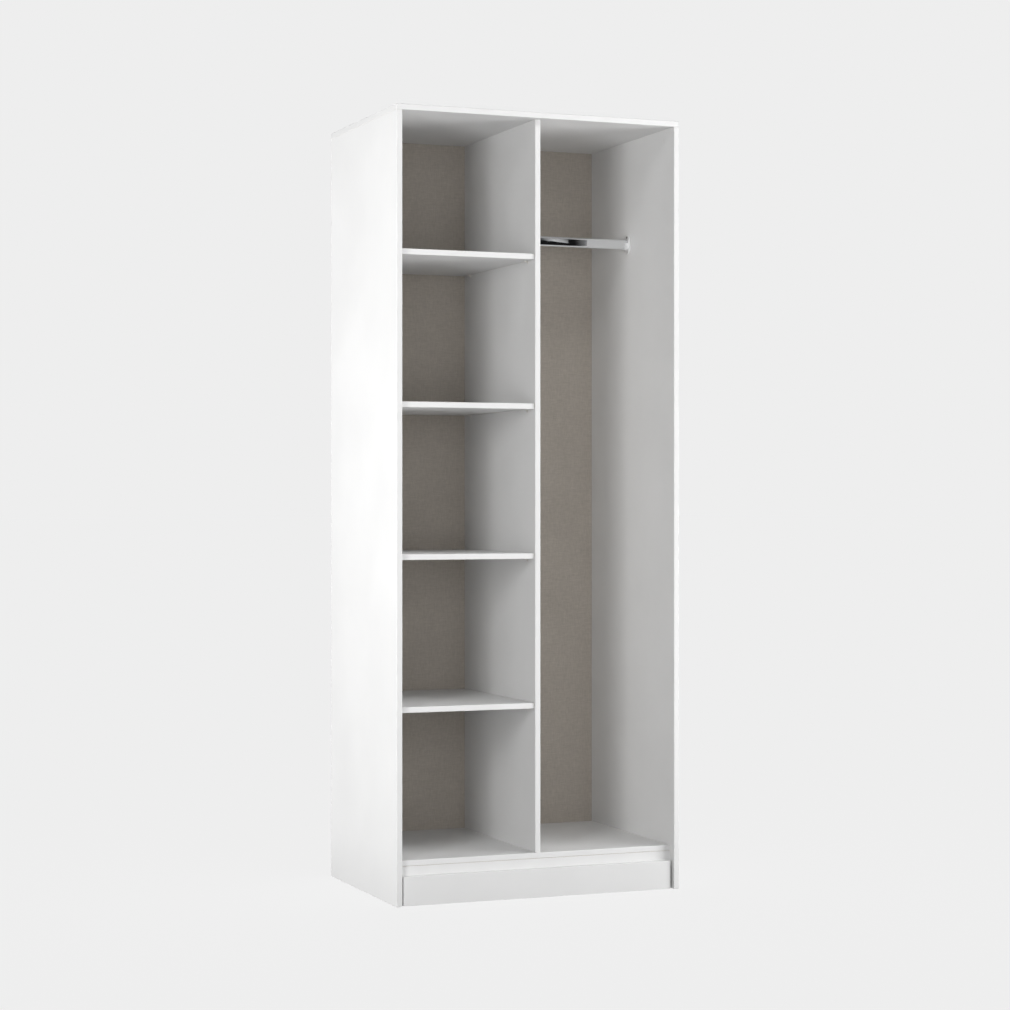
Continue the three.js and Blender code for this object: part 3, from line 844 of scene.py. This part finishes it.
nail_profile = [
    (-NAIL_LENGTH, POINT),
    (-NAIL_LENGTH + 0.002, NAIL_SHANK),
    (-0.0004, NAIL_SHANK),
    (0, NAIL_HEAD),
    (NAIL_HEAD_THICK / 2, NAIL_HEAD),
    (NAIL_HEAD_THICK, 0.8 * NAIL_HEAD),
]
nail_low = partition_low.z + NAIL_PITCH / 3
nail_high = partition_high.z - NAIL_PITCH / 3
nail_places = [
    (x, z)
    for x in (-NAIL_FROM_SEAM, NAIL_FROM_SEAM)
    for z in steps_between(nail_low, nail_high, NAIL_PITCH)
]
base_z = (bottom_low.z + bottom_high.z) / 2
for outwards in (-1, 1):
    first, last = 3 * NAIL_FROM_SEAM, bottom_high.x - NAIL_PITCH / 4
    nail_places += [(outwards * x, base_z) for x in steps_between(first, last, NAIL_PITCH)]

first_x, first_z = nail_places[0]
first_nail = turn_about(
    "back_nails", Vector((first_x, back_rear, first_z)), DIRECTIONS["back"], nail_profile, NAIL_SIDES
)
nails = [first_nail]
for x, z in nail_places[1:]:
    nails.append(copy_to(first_nail, "nail", (x - first_x, 0, z - first_z)))
activate(first_nail)
for nail in nails:
    nail.select_set(True)
bpy.ops.object.join()
first_nail.data.materials.append(blued_steel)
smooth_over(30)
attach(first_nail, "carcass")


# ---------------- hanging rail
# A tube of chromed steel drawn to an upright oval, cut square and lightly deburred at both ends. It lies
# in the open cups of its sockets and lifts out.
RAIL_WALL = 0.0012
ROUND_SIDES = 64
DEBURR = 0.0003


def chrome_material():
    made, tree, shader = new_material("chrome plate", Metallic=1)
    shader.inputs["Base Color"].default_value = (0.80, 0.81, 0.82, 1)
    where = place_on_piece(tree, (1, 4, 4))
    tree.links.new(spread(tree, marks(tree, where, 8), 0, 1, 0.012, 0.04), shader.inputs["Roughness"])
    emboss(tree, shader, noise(tree, where, 24, 2), 0.00003, 0.5)
    return made


chrome = chrome_material()


def oval_bar(name, centre, width, height, start, end, sides=ROUND_SIDES):
    """An upright oval bar along X: a round one whose upper and lower halves are drawn apart."""
    clear_selection()
    middle = Vector(((start + end) / 2, centre.y, centre.z))
    bpy.ops.mesh.primitive_cylinder_add(
        vertices=sides, radius=width / 2, depth=end - start, location=middle, rotation=(0, math.pi / 2, 0)
    )
    bar = settle(name)
    bpy.ops.object.mode_set(mode="EDIT")
    bpy.ops.mesh.select_all(action="SELECT")
    half_step = math.pi / sides
    bpy.ops.transform.rotate(value=half_step, orient_axis="X", center_override=middle)
    shape = bmesh.from_edit_mesh(bar.data)
    for way in (1, -1):
        bpy.ops.mesh.select_mode(type="VERT")
        bpy.ops.mesh.select_all(action="DESELECT")
        for corner in shape.verts:
            corner.select_set(way * (corner.co.z - middle.z) > 0 and abs(corner.co.z - middle.z) < width)
        bmesh.update_edit_mesh(bar.data)
        bpy.ops.transform.translate(value=(0, 0, way * (height - width) / 2))
    bpy.ops.object.mode_set(mode="OBJECT")
    return bar


rail_low, rail_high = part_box("hanging_rail")
rail_middle = (rail_low + rail_high) / 2
rail_width = rail_high.y - rail_low.y
rail_height = rail_high.z - rail_low.z
rail = oval_bar("rail_tube", rail_middle, rail_width, rail_height, rail_low.x, rail_high.x)
hollow = oval_bar(
    "hollow", rail_middle, rail_width - 2 * RAIL_WALL, rail_height - 2 * RAIL_WALL,
    rail_low.x - DEEPER, rail_high.x + DEEPER,
)
cut_away(rail, [hollow])
for end in (rail_low.x, rail_high.x):
    chamfer(crosswise_at(end), DEBURR, 2)
rail.data.materials.append(chrome)
smooth_over(20)
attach(rail, "rail")
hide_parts("hanging_rail")


# Painted reflection: what the chrome mirrors is painted on two glowing cards that only reflections see. It
# shows a pale wall straight in front and, at the front right, the dim room, a rumpled white sheet and a grey
# haze beside it.
WALL_AHEAD = 3.5
WALL_MIDDLE = 0.3
WALL_WIDTH = 1.6
WALL_GLOW = 0.45
CARD_AHEAD = 1.5
CARD_MIDDLE = (1.0, 2.5)
CARD_SIZE = (1.0, 2.2)
SHEET_LEFT = 0.13
SHEET_BRIGHT = 0.18
SHEET_EDGE = 0.2132
HEM_LEFT = 0.005
HEM_RIGHT = -0.009
HAZE_START = 0.2324
HAZE_END = 0.275
UPRIGHT = (math.pi / 2, 0, 0)
reach_out = CARD_AHEAD / (rail_middle.y - eye.y)


def painted_reflection_card(name, location, size):
    """An upright glowing card that only mirroring surfaces see, for a painted reflection. Gives its node tree
    and its emission.
    """
    card, tree, emission = emission_card(name, location, UPRIGHT, size)[:3]
    for way_seen in ("camera", "diffuse", "transmission", "volume_scatter", "shadow"):
        setattr(card, f"visible_{way_seen}", False)
    return tree, emission


def seen_at(x, z=0.0):
    """Where on the card the camera sees, in the rail's face, at x along the rail and z over its middle."""
    z += rail_middle.z
    return x + (x - eye.x) * reach_out, z + (z - eye.z) * reach_out


tree, glow = painted_reflection_card("painted reflection wall", (WALL_MIDDLE, -WALL_AHEAD, eye.z + 1), (WALL_WIDTH, WALL_WIDTH))
glow.inputs["Strength"].default_value = WALL_GLOW

card_x, card_z = CARD_MIDDLE
tree, glow = painted_reflection_card("painted reflection sheet", (card_x, rail_middle.y - CARD_AHEAD, card_z), CARD_SIZE)
# Painted reflection of a rumpled sheet on one side of a rippled hem. It is brightest a little in from its
# left end and cut off at its right edge, with a grey haze that grows to the right beyond it.
where = place_on_piece(tree)
split = tree.nodes.new("ShaderNodeSeparateXYZ")
tree.links.new(where, split.inputs["Vector"])
across = split.outputs["X"]
left_x, left_z = seen_at(SHEET_LEFT, HEM_LEFT)
edge_x, edge_z = seen_at(SHEET_EDGE, HEM_RIGHT)
bright_x = seen_at(SHEET_BRIGHT)[0]
ripple = spread(tree, noise(tree, where, 42, 2), 0.3, 0.7, -0.004, 0.004)
hem = calculate(tree, "ADD", spread(tree, across, left_x, edge_x, left_z, edge_z), ripple)
sheet = spread(tree, calculate(tree, "SUBTRACT", split.outputs["Z"], hem), -0.001, 0.001)
for shading in (
    spread(tree, across, edge_x - 0.002, edge_x, 1, 0),
    spread(tree, noise(tree, where, 30, 2), 0.35, 0.65, 0.75, 1.15),
    spread(tree, across, left_x, bright_x, 0.1, 0.62),
    spread(tree, across, bright_x, edge_x, 1, 0.35),
):
    sheet = calculate(tree, "MULTIPLY", sheet, shading)
haze = spread(tree, across, seen_at(HAZE_START)[0], seen_at(HAZE_END)[0], 0.1, 0.6)
haze = calculate(tree, "MULTIPLY", haze, haze)
haze = calculate(tree, "MULTIPLY", haze, spread(tree, noise(tree, where, 60, 3), 0.3, 0.7, 0.6, 1.2))
tree.links.new(calculate(tree, "ADD", sheet, haze), glow.inputs["Strength"])


# ---------------- rail sockets and their screws
# Zinc castings, satin chromed: an oval flange, a cup that is open at the top, and below the rail a spigot in
# the board. A browned countersunk screw over the rail holds each one to its board.
FLANGE = 0.003
FLANGE_ROUND = 0.0012
CUP_WALL = 0.002
CUP_GAP = 0.0004
CUP_RIM = 0.004
CUP_ROUND = 0.0004
SCREW_HEAD = 0.0034
SCREW_SHANK = 0.0016
SCREW_GAP = 0.0003
THREAD_PITCH = 0.0012
THREAD_DEPTH = 0.0004
CROSS = 0.004
CROSS_WIDTH = 0.0008
CROSS_DEPTH = 0.001

dark_steel = metal_material("browned steel", (0.13, 0.122, 0.112, 1), 0.38, 0.55, 800, 0.00002)
satin_chrome = metal_material("satin chrome", (0.86, 0.865, 0.87, 1), 0.3, 0.42, 900, 0.00001, 0.45)


def add_up(piece, others):
    """Joins the others to the piece as one solid."""
    for other in others:
        join = piece.modifiers.new("join", "BOOLEAN")
        join.operation = "UNION"
        join.solver = "EXACT"
        join.object = other
        apply_modifiers(piece)
        bpy.data.objects.remove(other)


def rounded(piece, width, angle=40, steps=2):
    """Breaks the piece's sharp edges."""
    soft = piece.modifiers.new("soft edges", "BEVEL")
    soft.width = width
    soft.segments = steps
    soft.limit_method = "ANGLE"
    soft.angle_limit = math.radians(angle)
    soft.use_clamp_overlap = True
    apply_modifiers(piece)


def rail_socket(side, face_x, outwards):
    """outwards is 1 where the socket's board is on its left, and -1 where it is on its right."""
    low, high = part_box(f"rail_socket_{side}")
    tip = high.x if outwards > 0 else low.x
    plate_x = face_x + outwards * FLANGE
    flange_ends = sorted((face_x, plate_x))
    flange = oval_bar(f"rail_cup_{side}", rail_middle, high.y - low.y, high.z - low.z, *flange_ends)
    chamfer(crosswise_at(plate_x), FLANGE_ROUND, 3)

    root = face_x + outwards * FLANGE / 2
    start, end = sorted((root, tip))
    room_width = rail_width + 2 * CUP_GAP
    room_height = rail_height + 2 * CUP_GAP
    cup = oval_bar("cup", rail_middle, room_width + 2 * CUP_WALL, room_height + 2 * CUP_WALL, start, end)
    room = oval_bar("room", rail_middle, room_width, room_height, start - FLANGE, end + FLANGE)
    over = block(
        "over",
        Vector((start - FLANGE, low.y, rail_middle.z + CUP_RIM)),
        Vector((end + FLANGE, high.y, high.z)),
    )
    cut_away(cup, [room])
    cut_away(cup, [over])
    rounded(cup, CUP_ROUND)

    screw_z = middle_of(f"rail_screw_{side}").z
    peg_z = 2 * rail_middle.z - screw_z
    peg_start = Vector((face_x - outwards * PEG_DEPTH, rail_middle.y, peg_z))
    spigot = rod("spigot", peg_start, Vector((root, rail_middle.y, peg_z)), PIN_PEG)
    add_up(flange, [cup, spigot])

    hole = SCREW_SHANK + SCREW_GAP
    seat = SCREW_HEAD + SCREW_GAP
    over_mouth = DEEPER / 5
    way = Vector((outwards, 0, 0))
    mouth = Vector((plate_x, rail_middle.y, screw_z))
    straight = rod("hole", mouth - way * 2 * FLANGE, mouth + way * FLANGE, hole)
    flare_start = mouth - way * (seat - hole)
    flare = rod("flare", flare_start, mouth + way * over_mouth, hole, end_radius=seat + over_mouth)
    cut_away(flange, [straight])
    cut_away(flange, [flare])
    flange.data.materials.append(satin_chrome)
    activate(flange)
    smooth_over(30)
    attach(flange, "carcass")
    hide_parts(f"rail_socket_{side}")


def countersunk_screw(name, mouth, out, length):
    """Head flush with the mouth, cross recess, and a thread of sharp rings down to the point."""
    height = -length + 2 * SCREW_SHANK
    neck = SCREW_SHANK - SCREW_HEAD
    profile = [(-length, POINT), (height, SCREW_SHANK)]
    while height + THREAD_PITCH < neck - THREAD_PITCH:
        profile.append((height + THREAD_PITCH * 0.4, SCREW_SHANK - THREAD_DEPTH))
        profile.append((height + THREAD_PITCH, SCREW_SHANK))
        height += THREAD_PITCH
    profile += [(neck, SCREW_SHANK), (-0.0002, SCREW_HEAD), (0, SCREW_HEAD - 0.0001)]
    screw = turn_about(name, mouth, out, profile)
    side = out.orthogonal().normalized()
    other = out.cross(side)
    for along_way, across_way in ((side, other), (other, side)):
        corner = along_way * CROSS / 2 + across_way * CROSS_WIDTH / 2
        corner = Vector(map(abs, corner)) + Vector(map(abs, out)) * CROSS_DEPTH
        cut_away(screw, [block("slot", mouth - corner, mouth + corner)])
    activate(screw)
    smooth_over(30)
    return screw


for side, face_x, outwards in (("left", partition_high.x, 1), ("right", right_low.x, -1)):
    rail_socket(side, face_x, outwards)
    low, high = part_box(f"rail_screw_{side}")
    out = Vector((outwards, 0, 0))
    mouth = Vector((face_x + outwards * FLANGE, rail_middle.y, (low.z + high.z) / 2))
    screw = countersunk_screw(f"cup_screw_{side}", mouth, out, high.x - low.x)
    screw.data.materials.append(dark_steel)
    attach(screw, "carcass")
    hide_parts(f"rail_screw_{side}")


# ---------------- shelf pins
# Nickel-plated spoon pins: a peg in the board, a collar against it, and a flat tongue on a rib for the
# shelf to lie on. One is modelled for each hand, the others are copies.
TONGUE_LENGTH = 0.009
TONGUE_WIDTH = 0.007
TONGUE_THICK = 0.002
COLLAR_THICK = 0.0012
WEB_THICK = 0.002
WEB_DROP = 0.0065
WEB_SHORTER = 0.0009
PEG_LEAD = 0.0006
PIN_ROUND = 0.00025

nickel = metal_material("nickel plate", (0.80, 0.78, 0.745, 1), 0.42, 0.58, 800, 0.00002)


def shelf_pin(name, place, outwards):
    """place is on the board's face, at the height of the tongue's top."""
    way = Vector((outwards, 0, 0))
    axis = place + DOWN * PIN_COLLAR
    peg = rod(name, axis - way * PEG_DEPTH, axis + way * COLLAR_THICK / 2, PIN_PEG)
    chamfer(crosswise_at(axis.x - outwards * PEG_DEPTH), PEG_LEAD)
    collar = rod("collar", axis, axis + way * COLLAR_THICK, PIN_COLLAR)
    root = place.x + outwards * COLLAR_THICK / 2
    end = place.x + outwards * TONGUE_LENGTH
    tongue = block(
        "tongue",
        Vector((min(root, end), place.y - TONGUE_WIDTH / 2, place.z - TONGUE_THICK)),
        Vector((max(root, end), place.y + TONGUE_WIDTH / 2, place.z)),
    )
    at_end = crosswise_at(end)
    chamfer(lambda a, b: at_end(a, b) and abs(a.y - b.y) < FINGER, TONGUE_WIDTH / 4, 4)
    web_end = place.x + outwards * (TONGUE_LENGTH - WEB_SHORTER)
    web = block(
        "web",
        Vector((min(root, web_end), place.y - WEB_THICK / 2, place.z - WEB_DROP)),
        Vector((max(root, web_end), place.y + WEB_THICK / 2, place.z - TONGUE_THICK / 2)),
    )
    at_web_end = crosswise_at(web_end)
    bpy.ops.object.mode_set(mode="EDIT")
    select_edges(lambda a, b: at_web_end(a, b) and max(a.z, b.z) < place.z - WEB_DROP + FINGER)
    bpy.ops.transform.translate(value=(0, 0, WEB_DROP - TONGUE_THICK))
    bpy.ops.object.mode_set(mode="OBJECT")
    add_up(peg, [collar, tongue, web])
    rounded(peg, PIN_ROUND, 50, 1)
    peg.data.materials.append(nickel)
    smooth_over(30)
    return peg


def pin_place(node, face_x):
    low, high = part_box(node)
    return Vector((face_x, (low.y + high.y) / 2, high.z))


for side, face_x, outwards in (("left", left_high.x, 1), ("right", partition_low.x, -1)):
    first = None
    for shelf in SHELVES:
        for place in PLACES:
            node = f"shelf_{shelf}_pin_{side}_{place}"
            name = f"pin_{side}_{place}_{shelf}"
            where = pin_place(node, face_x)
            if first is None:
                first, first_place = shelf_pin(name, where, outwards), where
                pin = first
            else:
                pin = copy_to(first, name, where - first_place)
            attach(pin, "carcass")
            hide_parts(node)


# ---------------- cams, bolts and dowels
# Zinc cams let into the boards' faces grip the heads of steel bolts in the next board. They and the beech
# dowels at the partition keep the shapes that the design gives them. The cams in the sides have caps.
CAP_RADIUS = 0.0088
CAP_RISE = 0.0005
CAP_SIDES = 40


def beech_material():
    made, tree, shader = new_material("beech")
    grain = noise(tree, place_on_piece(tree, (1, 1, 0.08)), 500, 4, 0.6)
    flecks = noise(tree, place_on_piece(tree, (1, 1, 0.3)), 1400, 2)
    base = blend_colours(tree, spread(tree, grain, 0.3, 0.7), (0.50, 0.31, 0.17, 1), (0.68, 0.47, 0.29, 1))
    darker = spread(tree, flecks, 0.6, 0.75, 0, 0.6)
    tree.links.new(blend_colours(tree, darker, base, (0.36, 0.20, 0.10, 1)), shader.inputs["Base Color"])
    shader.inputs["Roughness"].default_value = 0.75
    emboss(tree, shader, grain, 0.00008)
    return made


zinc = metal_material("zinc", (0.62, 0.63, 0.65, 1), 0.38, 0.55, 600, 0.00006)
beech = beech_material()
# The caps and the glides are moulded in a mould with a fine spark-eroded grain.
plastic = plain_finish(
    "white plastic", WHITE, (0.70, 0.70, 0.69, 1), (90, 2, 0.4, 0.7), 30, (0.42, 0.55), 2600, 0.00002, 0.6
)
for name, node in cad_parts.items():
    finish = {"cam": zinc, "bolt": zinc, "dowel": beech}.get(name.split("_")[0])
    if finish:
        node.data.materials.clear()
        node.data.materials.append(finish)

cap_profile = [
    (0, CAP_RADIUS),
    (0.4 * CAP_RISE, CAP_RADIUS),
    (0.85 * CAP_RISE, 0.93 * CAP_RADIUS),
    (CAP_RISE, 0.8 * CAP_RADIUS),
]
for side, face_x, outwards in (("left", left_high.x, 1), ("right", right_low.x, -1)):
    for place in PLACES:
        cam = middle_of(f"cam_top_{side}_{place}")
        cap = turn_about(
            f"cap_{side}_{place}",
            Vector((face_x, cam.y, cam.z)),
            Vector((outwards, 0, 0)),
            cap_profile,
            CAP_SIDES,
        )
        cap.data.materials.append(plastic)
        smooth_over(50)
        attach(cap, "carcass")


# ---------------- glides
# Four white plastic glides under the ends of the sides. Each is moulded round a nail, which is driven into
# the side's lower edge, and stands a little below it.
GLIDE_NAIL = 0.001
GLIDE_SIDES = 32
for side in ("left", "right"):
    for place in PLACES:
        low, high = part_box(f"glide_{side}_{place}")
        middle = (low + high) / 2
        radius = (high.x - low.x) / 2
        foot = left_low.z
        drop = foot - low.z
        nail_tip = foot - high.z
        glide = turn_about(
            f"foot_glide_{side}_{place}",
            Vector((middle.x, middle.y, foot)),
            DOWN,
            [
                (nail_tip, POINT),
                (nail_tip + 2 * GLIDE_NAIL, GLIDE_NAIL),
                (-POINT, GLIDE_NAIL),
                (0, radius),
                (0.5 * drop, radius),
                (0.85 * drop, 0.94 * radius),
                (drop, 0.82 * radius),
            ],
            GLIDE_SIDES,
        )
        glide.data.materials.append(plastic)
        smooth_over(50)
        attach(glide, "carcass")
        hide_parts(f"glide_{side}_{place}")
